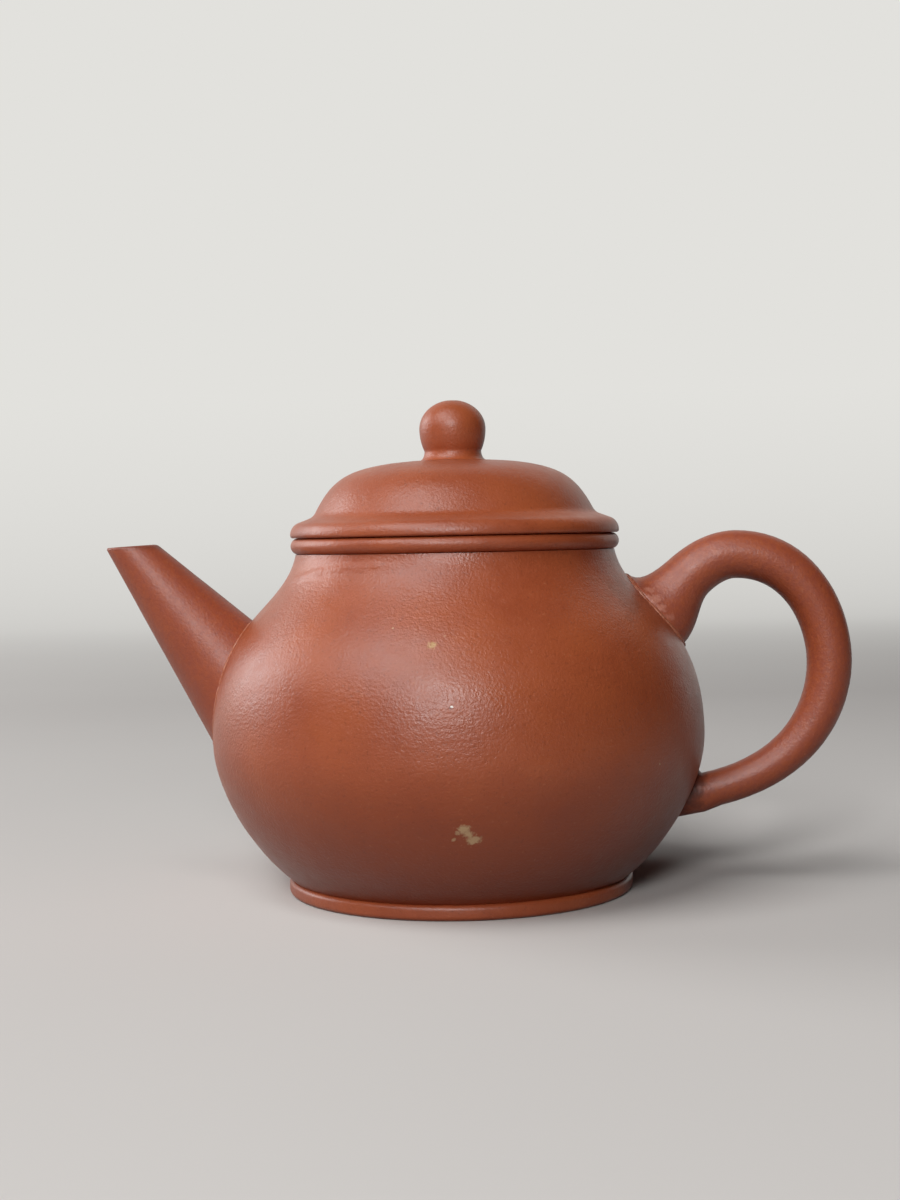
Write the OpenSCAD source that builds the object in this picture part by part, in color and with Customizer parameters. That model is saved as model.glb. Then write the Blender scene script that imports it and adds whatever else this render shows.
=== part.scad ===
// Round clay teapot with a straight spout, a ring handle and a loose lid.
// The pot stands on z = 0 with its axis on Z, the spout towards -X and the handle towards +X.
// Millimetres. Every piece that a potter makes by itself is its own module, and all of
// them are drawn against two curves: the outline of the body and the outline of the lid.

/* [Body] */
// Diameter of the belly at its widest line
belly_d = 82.2; // [77:0.1:90]
// Height of the belly's widest line above the table
belly_z = 25.7; // [23:0.1:29]
// Diameter of the body where it stands on the foot ring
base_d = 56.4; // [52:0.1:60]
// Slope of the body as it leaves the foot ring, in degrees above level
base_slope = 35; // [28:1:48]
// How far that slope carries on before the belly curve takes over
base_pull = 7.8; // [5:0.1:10]
// How far the upright of the widest line carries down into the lower belly
belly_pull_down = 8; // [6:0.1:11]
// How far the upright of the widest line carries up into the shoulder
belly_pull_up = 20.2; // [17:0.1:23]
// Diameter of the neck just under the mouth ring
neck_d = 53.3; // [50:0.1:56]
// Height of the neck's top edge above the table
neck_top_z = 56.5; // [54:0.1:61]
// Lean of the neck's side from upright at its top, in degrees
neck_lean = 13.5; // [5:0.5:20]
// How far the neck's lean carries down into the shoulder
neck_pull = 10.1; // [8:0.1:12]
// Thickness of the clay wall
wall_t = 2.5; // [2:0.1:3]

/* [Clay joints] */
// Thickness of the base disc
base_t = 2.6; // [2:0.1:4]
// Height at which the shoulder disc is luted on the wall
shoulder_z = 49; // [47:0.1:50.5]
// Height at which the neck is luted on the shoulder disc
neck_z = 53; // [52:0.1:54.5]
// Thickness of the slip that joins the spout, strainer and handle to the body
slip_t = 0.05; // [0.03:0.01:0.1]

/* [Foot ring] */
// Outside diameter of the foot ring
foot_d = 57.8; // [54:0.1:61]
// Height of the foot ring
foot_h = 2.5; // [1.8:0.1:4]
// Width of the foot ring from inside to outside
foot_w = 3.8; // [2.6:0.1:6]
// Radius on the foot ring's long edges
foot_round = 0.85; // [0.4:0.05:0.9]

/* [Mouth ring] */
// Height of the mouth ring
mouth_h = 2.7; // [2:0.1:4]
// How far the mouth ring stands out from the neck
mouth_proud = 0.85; // [0.4:0.05:1.6]
// How far the mouth ring stands in from the neck's inner wall
mouth_lip = 0.3; // [0:0.05:1]

/* [Spout] */
// How far the centre of the tip stands out from the belly's widest line
spout_out = 14.2; // [10:0.1:20]
// Depth of the tip's centre below the top of the mouth
spout_drop = 0.75; // [0:0.05:3]
// Outside diameter at the tip, square to the spout
tip_d = 6.85; // [6.2:0.05:8.5]
// Thickness of the wall at the tip
tip_t = 1.3; // [1:0.05:1.6]
// How far the cut across the tip rises towards the pot, in degrees
tip_rise = 3; // [0:0.5:8]
// Height on the body at which the spout's centre line lands
spout_z = 38.3; // [35:0.1:40]
// Outside diameter at the body, square to the spout
spout_root_d = 17.1; // [15:0.1:19]
// Thickness of the wall at the body
spout_root_t = 2.4; // [1.8:0.1:3]

/* [Strainer] */
// Diameter of the hole in the body wall behind the spout
wall_hole_d = 11.5; // [9:0.1:12]
// Outside diameter of the pierced dome inside that hole
strainer_d = 15.4; // [15:0.1:18]
// Thickness of the pierced dome
strainer_t = 1.5; // [1.2:0.1:1.6]
// Diameter of each strainer hole
strainer_hole_d = 1.6; // [1.2:0.1:2]
// Number of holes in the first row round the middle hole
strainer_count = 6; // [5:1:7]
// Angle between one row of holes and the next, in degrees
strainer_pitch = 27; // [24:1:30]

/* [Handle] */
// Height on the body at which the handle's upper root is centred
root_z = 45.7; // [43:0.1:46.5]
// Direction of the handle as it leaves the upper root, in degrees above level
root_rise = 57; // [45:1:70]
// How far that direction carries into the handle
root_pull = 5; // [3:0.1:7]
// How far the centre of the crown stands out from the belly's widest line
crown_out = 5.7; // [3:0.1:8]
// Depth of the crown's centre below the neck's top edge
crown_drop = 1.4; // [-1:0.1:4]
// How far the level of the crown carries back to the upper root
crown_pull_in = 5.3; // [3:0.1:7]
// How far the level of the crown carries on to the outer side
crown_pull_out = 10.3; // [8:0.1:13]
// How far the centre of the outer side stands out from the belly's widest line
side_out = 21.1; // [19:0.1:26]
// Height of the outermost point of the handle
side_z = 37.1; // [33:0.1:41]
// How far the upright of the outer side carries up
side_pull_up = 8.2; // [6:0.1:11]
// How far the upright of the outer side carries down
side_pull_down = 7.3; // [5:0.1:10]
// Height on the body at which the handle's lower root is centred
tail_z = 15.1; // [13:0.1:18]
// Direction of the handle as it leaves the lower root, in degrees above level
tail_rise = 7; // [0:1:14]
// How far that direction carries into the handle
tail_pull = 19.6; // [16:0.1:22]
// Thickness of the handle above the upper root
root_d = 9; // [8:0.1:10]
// Thickness of the handle at the crown
crown_d = 8.05; // [7:0.05:9]
// Thickness of the handle at its outer side
side_d = 7.45; // [6.5:0.05:8.5]
// Thickness of the handle above the lower root
tail_d = 6; // [5.2:0.1:7]
// How far the clay spreads over the body at the upper root
root_flare = 2.9; // [1.5:0.1:3.5]
// Length of handle over which the upper root spreads
root_flare_run = 8; // [6:0.1:10]
// How far the clay spreads over the body at the lower root
tail_flare = 0.7; // [0:0.1:1.2]
// Length of handle over which the lower root spreads
tail_flare_run = 5; // [4:0.1:8]
// Share of the spread that goes sideways round the body
flare_side = 0.5; // [0:0.05:1]

/* [Lid] */
// Height of the lid's rim at the foot of the dome
rim_h = 3.5; // [3.2:0.1:4.5]
// Width of the rim from its outer side to the foot of the dome
rim_w = 3.9; // [3.1:0.1:4.5]
// Fall of the rim's upper side from the dome outwards, in degrees
rim_slope = 20.5; // [12:0.5:24]
// Radius on the rim's upper edge, as far as the rim is high enough for it
rim_round = 2.1; // [1:0.1:2.5]
// Radius on the rim's lower edge
rim_edge = 0.45; // [0.2:0.05:0.6]
// Height of the dome above the rim
dome_h = 9.1; // [8:0.05:12]
// Slope of the dome's side where it leaves the rim, in degrees above level
dome_slope = 63; // [50:1:68]
// How far that slope carries up the dome
dome_pull_side = 7.6; // [6:0.1:9]
// How far the level top of the dome carries out from the axis
dome_pull_top = 17.8; // [15:0.1:21]
// Thickness of the dome
dome_t = 2.4; // [2:0.1:2.8]
// Depth of the collar that drops into the mouth
collar_h = 8; // [5:0.1:11]
// Thickness of the collar
collar_t = 2.3; // [1.8:0.1:3]
// Bevel on the collar's lower outer edge
collar_bevel = 0.6; // [0.3:0.1:1]
// Clearance between the collar and the mouth, all round
collar_gap = 0.3; // [0.2:0.05:0.5]

/* [Knob] */
// Diameter of the knob at its widest
knob_d = 11.1; // [10:0.1:14]
// Height of the knob above its widest line
knob_up = 4.8; // [4:0.1:7]
// Height of the knob below its widest line
knob_down = 3.7; // [3:0.1:5]
// Diameter of the knob where it stands on its seat
knob_foot_d = 9.5; // [8:0.1:9.8]
// Height of the seat above the top of the dome
seat_h = 1.5; // [1:0.05:3]
// How far the seat spreads over the dome
seat_flare = 1.1; // [0.5:0.1:3]
// Diameter of the vent through the knob and the lid
vent_d = 2; // [1.5:0.1:2.5]

/* [Hidden] */
$fn = 96;

body_clay = "#a65c43";
ring_clay = "#9c543d";
spout_clay = "#a05840";
handle_clay = "#9a5440";
strainer_clay = "#8c4a36";
lid_clay = "#ab6046";
knob_clay = "#a2593f";

// Steps along each half of the body's outline, along the lid's outline and along small curves
body_steps = 20;
dome_steps = 24;
small_steps = 8;
// Steps along each of the handle's three curves, and sides round it
handle_steps = 12;
handle_sides = 24;
// Rings between the rim and the middle of each of the handle's two end faces
face_rings = 4;
// Halvings that bring a point of the handle onto the body
halvings = 16;
// Length that a cutting shape runs past what it cuts
past = 1;

// ---- Curves ----

// A point at a distance and an angle above level
function polar(r, angle) = [r * cos(angle), r * sin(angle)];

// A cubic curve from a to d that leaves along a-b and arrives along c-d
function curve(a, b, c, d, steps) = [
    for (i = [0 : steps]) let (t = i / steps, u = 1 - t)
        u * u * u * a + 3 * u * u * t * b + 3 * u * t * t * c + t * t * t * d
];

// Two curves that share an end, as one list of points
function joined(first, second) = concat(first, [for (i = [1 : len(second) - 1]) second[i]]);

// The direction of a list of points at point i, and the same turned to its right-hand side
function along(points, i) =
    let (step = points[min(i + 1, len(points) - 1)] - points[max(i - 1, 0)]) step / norm(step);
function aside(points, i) = let (d = along(points, i)) [d.y, -d.x];

// An outline moved by a distance square to itself, outwards if the distance is positive
function moved(points, by) = [for (i = [0 : len(points) - 1]) points[i] + by * aside(points, i)];

// An outline as a table of radius against height
function by_height(points) = [for (p = points) [p.y, p.x]];

// A rise from 0 to 1 that starts and ends level
function ease(t) = t * t * (3 - 2 * t);

// ---- Heights and radii that follow from the sizes ----

belly_r = belly_d / 2;
base_top_z = foot_h + base_t;
mouth_top_z = neck_top_z + mouth_h;
rim_top_z = mouth_top_z + rim_h;
dome_top_z = rim_top_z + dome_h;
seat_top_z = dome_top_z + seat_h;
knob_z = seat_top_z + knob_down;

// The body's outline from the foot ring over the belly to the top of the neck
foot_point = [base_d / 2, foot_h];
belly_point = [belly_r, belly_z];
neck_point = [neck_d / 2, neck_top_z];
outline = joined(
    curve(foot_point, foot_point + polar(base_pull, base_slope),
        belly_point - [0, belly_pull_down], belly_point, body_steps),
    curve(belly_point, belly_point + [0, belly_pull_up],
        neck_point + polar(neck_pull, neck_lean - 90), neck_point, body_steps));
hollow = moved(outline, -wall_t);
slip_table = by_height(moved(outline, slip_t));

mouth_r = neck_point.x + mouth_proud;
mouth_bore_r = hollow[len(hollow) - 1].x - mouth_lip;
collar_r = mouth_bore_r - collar_gap;
collar_in_r = collar_r - collar_t;
dome_r = mouth_r - rim_w;
rim_edge_room = rim_h - rim_w * tan(rim_slope) - rim_edge;
rim_r = min(rim_round, rim_edge_room / (1 / cos(rim_slope) - tan(rim_slope)));

// The lid's outline from the rim to the axis
dome_point = [dome_r, rim_top_z];
dome_top = [0, dome_top_z];
dome = curve(dome_point, dome_point + polar(dome_pull_side, 180 - dome_slope),
    dome_top + [dome_pull_top, 0], dome_top, dome_steps);

// ---- Sections ----

// Everything inside an outline, down to its foot and up to a height
module inside(points, top_z) {
    last = points[len(points) - 1];
    polygon(concat([[0, points[0].y]], points, [[last.x, top_z], [0, top_z]]));
}

// The part of a section between two heights
module between(low_z, high_z) {
    intersection() {
        children();
        translate([0, low_z]) square([belly_r + past, high_z - low_z]);
    }
}

// The body's wall from the base disc to the top of the neck
module wall_section() {
    difference() {
        inside(outline, neck_top_z);
        inside(hollow, neck_top_z + past);
    }
}

// A box section with round corners, from its low inner corner
module round_box(width, height, r) {
    translate([r, 0]) square([width - 2 * r, height]);
    translate([0, r]) square([width, height - 2 * r]);
    for (x = [r, width - r], y = [r, height - r]) translate([x, y]) circle(r);
}

// ---- Pot ----

module base_disc() {
    color(body_clay) rotate_extrude() between(foot_h, base_top_z) inside(outline, neck_top_z);
}

module foot_ring() {
    color(ring_clay) rotate_extrude()
        translate([foot_d / 2 - foot_w, 0]) round_box(foot_w, foot_h, foot_round);
}

module body_wall() {
    color(body_clay) difference() {
        rotate_extrude() between(base_top_z, shoulder_z) wall_section();
        along_spout(spout_run) cylinder(d = wall_hole_d, h = strainer_d, center = true);
    }
}

module shoulder_disc() {
    color(body_clay) rotate_extrude() between(shoulder_z, neck_z) wall_section();
}

module neck_ring() {
    color(body_clay) rotate_extrude() between(neck_z, neck_top_z) wall_section();
}

// The mouth ring's outer side is a full round
module mouth_ring() {
    bead_r = mouth_h / 2;
    color(ring_clay) rotate_extrude() translate([0, neck_top_z]) {
        translate([mouth_bore_r, 0]) square([mouth_r - bead_r - mouth_bore_r, mouth_h]);
        translate([mouth_r - bead_r, bead_r]) circle(bead_r);
    }
}

// ---- Spout ----

tip_r = tip_d / 2;
root_r = spout_root_d / 2;
spout_tip = [-(belly_r + spout_out), mouth_top_z - spout_drop];
outline_table = by_height(outline);
spout_root = [-lookup(spout_z, outline_table), spout_z];
spout_run = norm(spout_root - spout_tip);
spout_fall = atan2(spout_tip.y - spout_root.y, spout_root.x - spout_tip.x);
spout_grow = (root_r - tip_r) / spout_run;
bore_grow = (root_r - spout_root_t - tip_r + tip_t) / spout_run;

// How far the body's side leans back where the spout lands, and how deep the wall is there
// along the spout
wall_lean = atan(lookup(spout_z - 0.5, outline_table) - lookup(spout_z + 0.5, outline_table));
wall_run = wall_t / cos(spout_fall - wall_lean);

// Places its children on the spout's centre line, pointing into the pot
module along_spout(distance) {
    translate([spout_tip.x, 0, spout_tip.y])
        rotate([0, 90 + spout_fall, 0])
        translate([0, 0, distance])
        children();
}

// A cone round the spout's centre line that runs past both its ends
module spout_cone(r, grow) {
    before = tip_d;
    after = spout_root_d;
    along_spout(-before)
        cylinder(r1 = r - grow * before, r2 = r + grow * (spout_run + after),
            h = before + spout_run + after);
}

module spout() {
    color(spout_clay) difference() {
        spout_cone(tip_r, spout_grow);
        spout_cone(tip_r - tip_t, bore_grow);
        rotate_extrude() inside(moved(outline, slip_t), neck_top_z);
        translate([spout_tip.x, 0, spout_tip.y]) rotate([0, -tip_rise, 0])
            translate([-spout_root_d, -spout_root_d, 0]) cube(2 * spout_root_d);
    }
}

// A pierced dome that is luted over the wall's hole from inside the pot, square to the wall
module strainer() {
    color(strainer_clay) intersection() {
        along_spout(spout_run + wall_run) rotate([0, wall_lean - spout_fall, 0]) difference() {
            sphere(d = strainer_d);
            sphere(d = strainer_d - 2 * strainer_t);
            for (row = [0 : 2], i = [0 : max(strainer_count * row, 1) - 1])
                rotate([0, 0, 360 * i / max(strainer_count * row, 1)])
                    rotate([0, strainer_pitch * row, 0])
                    translate([0, 0, strainer_d / 2 - strainer_t - past])
                    cylinder(d = strainer_hole_d, h = strainer_t + 2 * past);
        }
        rotate_extrude() inside(moved(outline, -wall_t - slip_t), neck_top_z);
    }
}

// ---- Handle ----
// The handle is swept along three curves: up from its root to the crown, round to its outer
// side, and down to its tail. Both end faces are then slid along the handle onto the round
// of the body, and the clay near them follows.

root_point = [lookup(root_z, slip_table), root_z];
crown_point = [belly_r + crown_out, neck_top_z - crown_drop];
side_point = [belly_r + side_out, side_z];
tail_point = [lookup(tail_z, slip_table), tail_z];
spine = joined(
    joined(
        curve(root_point, root_point + polar(root_pull, root_rise),
            crown_point - [crown_pull_in, 0], crown_point, handle_steps),
        curve(crown_point, crown_point + [crown_pull_out, 0],
            side_point + [0, side_pull_up], side_point, handle_steps)),
    curve(side_point, side_point - [0, side_pull_down],
        tail_point + polar(tail_pull, tail_rise), tail_point, handle_steps));
last_ring = len(spine) - 1;

// Length of the spine up to each of its points
spine_run = [
    for (i = 0, run = 0; i <= last_ring; i = i + 1,
        run = i > last_ring ? run : run + norm(spine[i] - spine[i - 1])) run
];

// Half the handle's thickness at point k, before its roots spread
stations = [root_d, crown_d, side_d, tail_d] / 2;
function plain_r(k) =
    let (leg = min(floor(k / handle_steps), 2), t = ease(k / handle_steps - leg))
    stations[leg] * (1 - t) + stations[leg + 1] * t;

// 1 at a root and 0 from a run away from it
function fade(distance, run) = pow(max(1 - distance / run, 0), 2);
function root_fade(k) = fade(spine_run[k], root_flare_run);
function tail_fade(k) = fade(spine_run[last_ring] - spine_run[k], tail_flare_run);
function spread(k) = root_flare * root_fade(k) + tail_flare * tail_fade(k);

// The handle's direction at point k, and a point of its skin, at a share of its thickness
function forward(k) = let (d = along(spine, k)) [d.x, 0, d.y];
function skin(k, angle, share = 1) =
    let (up = -aside(spine, k),
        high = (plain_r(k) + spread(k)) * share * cos(angle),
        wide = (plain_r(k) + spread(k) * flare_side) * share * sin(angle))
    [spine[k].x + up.x * high, wide, spine[k].y + up.y * high];

// How far a point stands out from the slip on the body, and how far it slides to land there
function clear_of_body(p) = norm([p.x, p.y]) - lookup(p.z, slip_table);
function slide(p, way, low, high, turns) =
    let (middle = (low + high) / 2)
    turns == 0 ? middle
    : clear_of_body(p + middle * way) > 0 ? slide(p, way, low, middle, turns - 1)
    : slide(p, way, middle, high, turns - 1);
function root_slide(angle, share = 1) =
    slide(skin(0, angle, share), forward(0), -root_flare_run, root_flare_run, halvings);
function tail_slide(angle, share = 1) =
    -slide(skin(last_ring, angle, share), -forward(last_ring), -root_flare_run, root_flare_run,
        halvings);

// The rings of the sweep, each with the slide of the end that it is near
ring_angles = [for (i = [0 : handle_sides - 1]) 360 * i / handle_sides];
root_slides = [for (a = ring_angles) root_slide(a)];
tail_slides = [for (a = ring_angles) tail_slide(a)];
rings = [
    for (k = [0 : last_ring]) [
        for (i = [0 : handle_sides - 1])
            skin(k, ring_angles[i])
            + forward(k) * (root_slides[i] * root_fade(k) + tail_slides[i] * tail_fade(k))
    ]
];

// The rings of an end face, from its rim to near its middle, and its middle point
face_shares = [for (j = [1 : face_rings - 1]) 1 - j / face_rings];
root_face = [
    for (share = face_shares) [
        for (a = ring_angles) skin(0, a, share) + forward(0) * root_slide(a, share)
    ]
];
tail_face = [
    for (share = face_shares) [
        for (a = ring_angles)
            skin(last_ring, a, share) + forward(last_ring) * tail_slide(a, share)
    ]
];
root_middle = skin(0, 0, 0) + forward(0) * root_slide(0, 0);
tail_middle = skin(last_ring, 0, 0) + forward(last_ring) * tail_slide(0, 0);

module handle() {
    all_rings = concat([for (j = [len(root_face) - 1 : -1 : 0]) root_face[j]], rings, tail_face);
    sides = handle_sides;
    count = len(all_rings) * sides;
    points = concat([for (ring = all_rings, p = ring) p], [root_middle, tail_middle]);
    skin_faces = [
        for (k = [0 : len(all_rings) - 2], i = [0 : sides - 1], half = [0, 1])
            let (a = k * sides + i, b = k * sides + (i + 1) % sides)
            half == 0 ? [a, b, b + sides] : [a, b + sides, a + sides]
    ];
    root_fan = [for (i = [0 : sides - 1]) [count, (i + 1) % sides, i]];
    tail_fan = [
        for (i = [0 : sides - 1]) [count + 1, count - sides + i, count - sides + (i + 1) % sides]
    ];
    color(handle_clay) polyhedron(points, concat(skin_faces, root_fan, tail_fan));
}

// ---- Lid ----

module vent() {
    translate([0, 0, rim_top_z]) cylinder(d = vent_d, h = knob_z + knob_up + past - rim_top_z);
}

// The collar hangs from the rim and fills the mouth, less its clearance
module lid_collar() {
    low_z = mouth_top_z - collar_h;
    color(lid_clay) rotate_extrude() polygon([
        [collar_in_r, low_z],
        [collar_r - collar_bevel, low_z],
        [collar_r, low_z + collar_bevel],
        [collar_r, mouth_top_z],
        [collar_in_r, mouth_top_z]
    ]);
}

// The rim lies on the mouth ring. Its upper side falls from the dome to a round edge
module lid_rim() {
    middle = [mouth_r - rim_r,
        rim_h - (rim_w - rim_r) * tan(rim_slope) - rim_r / cos(rim_slope)];
    color(lid_clay) rotate_extrude() translate([0, mouth_top_z]) {
        polygon([
            [collar_in_r, 0],
            [mouth_r - rim_edge, 0],
            [mouth_r - rim_edge, rim_edge],
            [mouth_r, rim_edge],
            [mouth_r, middle.y],
            middle,
            middle + polar(rim_r, 90 - rim_slope),
            [dome_r, rim_h],
            [collar_in_r, rim_h]
        ]);
        translate(middle) intersection() {
            circle(rim_r);
            square(rim_r);
        }
        translate([mouth_r - rim_edge, rim_edge]) circle(rim_edge);
    }
}

module lid_disc() {
    color(lid_clay) difference() {
        rotate_extrude() difference() {
            inside(dome, dome_top_z);
            inside(concat([[dome_r - dome_t, rim_top_z - past]], moved(dome, -dome_t)), dome_top_z);
        }
        vent();
    }
}

// The seat spreads over the dome with a hollow side
module knob_seat() {
    foot_r = knob_foot_d / 2;
    spread_r = foot_r + seat_flare;
    dome_table = [for (p = dome) [p.x, p.y]];
    spread_point = [spread_r, lookup(spread_r, dome_table)];
    top_point = [foot_r, seat_top_z];
    side = curve(spread_point, spread_point - [seat_flare * 0.7, 0],
        [foot_r, (spread_point.y + seat_top_z) / 2], top_point, small_steps);
    color(knob_clay) difference() {
        rotate_extrude() difference() {
            inside(side, seat_top_z);
            inside(dome, dome_top_z);
        }
        vent();
    }
}

// The knob is a half round above its widest line and a fuller, cut-off one below it
module knob() {
    r = knob_d / 2;
    foot_angle = acos(knob_foot_d / knob_d);
    low_r = knob_down / sin(foot_angle);
    low_side = [
        for (i = [0 : small_steps]) let (a = foot_angle * (i / small_steps - 1))
            [r * cos(a), knob_z + low_r * sin(a)]
    ];
    high_side = [
        for (i = [1 : 2 * small_steps]) let (a = 90 * i / (2 * small_steps))
            [r * cos(a), knob_z + knob_up * sin(a)]
    ];
    color(knob_clay) difference() {
        rotate_extrude() inside(concat(low_side, high_side), knob_z + knob_up);
        vent();
    }
}

base_disc();
foot_ring();
body_wall();
shoulder_disc();
neck_ring();
mouth_ring();
spout();
strainer();
handle();
lid_collar();
lid_rim();
lid_disc();
knob_seat();
knob();
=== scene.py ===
# %% [markdown]
# # A round red clay teapot
# This file dresses a finished CAD teapot with real clay. The CAD model is loaded first and
# stays as it is: it says where every piece is, and which pieces move together. Here the lid
# lifts off the pot, so there are two bodies, "pot" and "lid".
# Everything is in metres, and the pot stands on z = 0 with its spout towards -X.

# %% Load the frame
import math
import random

import bpy
from mathutils import Matrix, Vector


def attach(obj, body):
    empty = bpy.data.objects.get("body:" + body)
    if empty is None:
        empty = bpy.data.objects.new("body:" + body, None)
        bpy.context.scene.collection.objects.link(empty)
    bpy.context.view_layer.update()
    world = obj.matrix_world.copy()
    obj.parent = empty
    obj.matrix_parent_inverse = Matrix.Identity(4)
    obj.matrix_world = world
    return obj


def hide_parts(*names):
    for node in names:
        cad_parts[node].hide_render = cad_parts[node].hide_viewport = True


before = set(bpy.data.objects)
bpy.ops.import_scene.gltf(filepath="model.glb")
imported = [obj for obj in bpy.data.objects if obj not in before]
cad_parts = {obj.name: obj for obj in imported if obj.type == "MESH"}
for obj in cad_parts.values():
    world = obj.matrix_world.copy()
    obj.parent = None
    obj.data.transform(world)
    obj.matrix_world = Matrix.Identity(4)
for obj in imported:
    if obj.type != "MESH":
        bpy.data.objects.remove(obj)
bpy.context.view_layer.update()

# %% [markdown]
# ## The camera
# The pot is looked at from the front, from the height of its mouth and 30 cm away, with a
# slight tilt down and a slight roll, as when a phone is held by hand. The camera could be
# aimed with a Track To constraint, but a plain matrix built from its three directions keeps
# the roll exact. The sensor's 36 mm lie along the frame's long side.

# %% Set the camera
MM = 0.001
CAMERA_PLACE = Vector((9.58, -302.55, 59.3)) * MM
CAMERA_LENS = 54.06
SENSOR = 36
NEAR_CLIP, FAR_CLIP = 0.01, 20
LOOK_DOWN = math.radians(2.075)
LOOK_ASIDE = math.radians(2.0)
ROLL = math.radians(1.16)


def set_camera():
    """The camera, from where it stands and its three directions."""
    ahead = Vector((-math.sin(LOOK_ASIDE) * math.cos(LOOK_DOWN),
                    math.cos(LOOK_ASIDE) * math.cos(LOOK_DOWN), -math.sin(LOOK_DOWN)))
    level_right = ahead.cross(Vector((0, 0, 1))).normalized()
    level_up = level_right.cross(ahead)
    right = level_right * math.cos(ROLL) - level_up * math.sin(ROLL)
    up = level_right * math.sin(ROLL) + level_up * math.cos(ROLL)
    lens = bpy.data.cameras.new("camera")
    lens.lens, lens.sensor_width = CAMERA_LENS, SENSOR
    lens.clip_start, lens.clip_end = NEAR_CLIP, FAR_CLIP
    camera = bpy.data.objects.new("camera", lens)
    bpy.context.scene.collection.objects.link(camera)
    turn = Matrix((right, up, -ahead)).transposed().to_4x4()
    camera.matrix_world = Matrix.Translation(CAMERA_PLACE) @ turn
    bpy.context.scene.camera = camera
    return camera


camera = set_camera()
print("Camera at", [round(v, 4) for v in camera.matrix_world.translation])

# %% [markdown]
# ## Curves to draw with
# A potter of this ware draws the pot's outline first and cuts a rib to it. Here each outline
# is a few Bézier curves. The points along them are spaced evenly, because the mesh between
# them later takes a fine relief.

# %% Curve helpers
TINY = 1e-9


def bezier(a, b, c, d, steps=200):
    """Points on a cubic curve from a to d that leaves along a-b and arrives along c-d."""
    points = []
    for i in range(steps + 1):
        t = i / steps
        u = 1 - t
        points.append(u ** 3 * Vector(a) + 3 * u * u * t * Vector(b)
                      + 3 * u * t * t * Vector(c) + t ** 3 * Vector(d))
    return points


def ray(length, angle):
    """A step of a length at an angle above level, in degrees."""
    return Vector((math.cos(math.radians(angle)), math.sin(math.radians(angle)))) * length


def arc(centre, radius, start, end, steps=6):
    """Points on a part of a circle, by angles in degrees."""
    return [Vector(centre) + ray(radius, start + (end - start) * i / steps)
            for i in range(steps + 1)]


def offset(points, distance):
    """A line moved square to itself, to the right of its direction."""
    moved = []
    for i, point in enumerate(points):
        way = points[min(i + 1, len(points) - 1)] - points[max(i - 1, 0)]
        moved.append(point + Vector((way.y, -way.x)).normalized() * distance)
    return moved


def evenly(points, gap):
    """The same line with points about a gap apart. Its ends stay."""
    runs = [0.0]
    for here, there in zip(points, points[1:]):
        runs.append(runs[-1] + (there - here).length)
    count = max(1, round(runs[-1] / gap))
    spaced, leg = [], 0
    for i in range(count + 1):
        run = runs[-1] * i / count
        while leg < len(points) - 2 and runs[leg + 1] < run:
            leg += 1
        share = (run - runs[leg]) / max(runs[leg + 1] - runs[leg], TINY)
        spaced.append(points[leg].lerp(points[leg + 1], min(max(share, 0), 1)))
    return spaced


def radius_at(outline, height):
    """The radius of an outline at a height, for an outline that rises all the way."""
    for here, there in zip(outline, outline[1:]):
        if here.y <= height <= there.y:
            share = (height - here.y) / max(there.y - here.y, TINY)
            return here.x + (there.x - here.x) * share
    return outline[0].x if height < outline[0].y else outline[-1].x


# %% [markdown]
# ## The outlines
# Two lines carry the whole shape: the side of the body from foot to neck, and the dome of
# the lid. A point is a radius and a height in millimetres. A pull is how far the handle of
# a curve reaches, and a slope is its angle in degrees.

# %% Outlines of the body and the dome
BELLY = Vector((41.1, 25.7))
FOOT_CORNER = Vector((28.2, 2.5))
NECK_CORNER = Vector((26.65, 56.5))
FOOT_PULL, FOOT_SLOPE = 7.8, 35
BELLY_PULL_DOWN, BELLY_PULL_UP = 8, 20.2
NECK_PULL, NECK_SLOPE = 10.1, 13.5
body_outline = (
    bezier(FOOT_CORNER, FOOT_CORNER + ray(FOOT_PULL, FOOT_SLOPE),
           BELLY - Vector((0, BELLY_PULL_DOWN)), BELLY)
    + bezier(BELLY, BELLY + Vector((0, BELLY_PULL_UP)),
             NECK_CORNER + ray(NECK_PULL, NECK_SLOPE - 90), NECK_CORNER)[1:])
BODY_WALL = 2.5
BASE_TOP = 5.1
MOUTH_TOP = 59.2
RIM_TOP = 62.7
DOME_TOP = 71.8
DOME_FOOT = Vector((23.6, RIM_TOP))
DOME_PULL, DOME_SLOPE = 7.6, 63
DOME_FLAT = 17.8
dome_outline = bezier(DOME_FOOT, DOME_FOOT + ray(DOME_PULL, 180 - DOME_SLOPE),
                      (DOME_FLAT, DOME_TOP), (0, DOME_TOP))
print("Body outline", len(body_outline), "points, dome", len(dome_outline), "points")

# %% [markdown]
# ## Tools of the bench
# Most pieces of a teapot are round, so most are made the same way: a plane is merged into
# one point, that point is extruded along the outline, and the line is spun about the pot's
# axis. A Screw modifier would do the same. Spin is used because its result is an ordinary
# mesh that can be cut and pushed at once. Every operator acts on what is selected, so each
# tool starts by leaving edit mode and deselecting everything.

# %% Bench tools
def start_clean():
    """Object mode with nothing selected."""
    if bpy.context.object and bpy.context.object.mode != "OBJECT":
        bpy.ops.object.mode_set(mode="OBJECT")
    bpy.ops.object.select_all(action="DESELECT")


def work_on(piece):
    """Only this piece selected and active."""
    start_clean()
    piece.select_set(True)
    bpy.context.view_layer.objects.active = piece


def name_piece(name):
    """Names the piece that was just added, and its mesh."""
    piece = bpy.context.object
    piece.name = piece.data.name = name
    return piece


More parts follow.
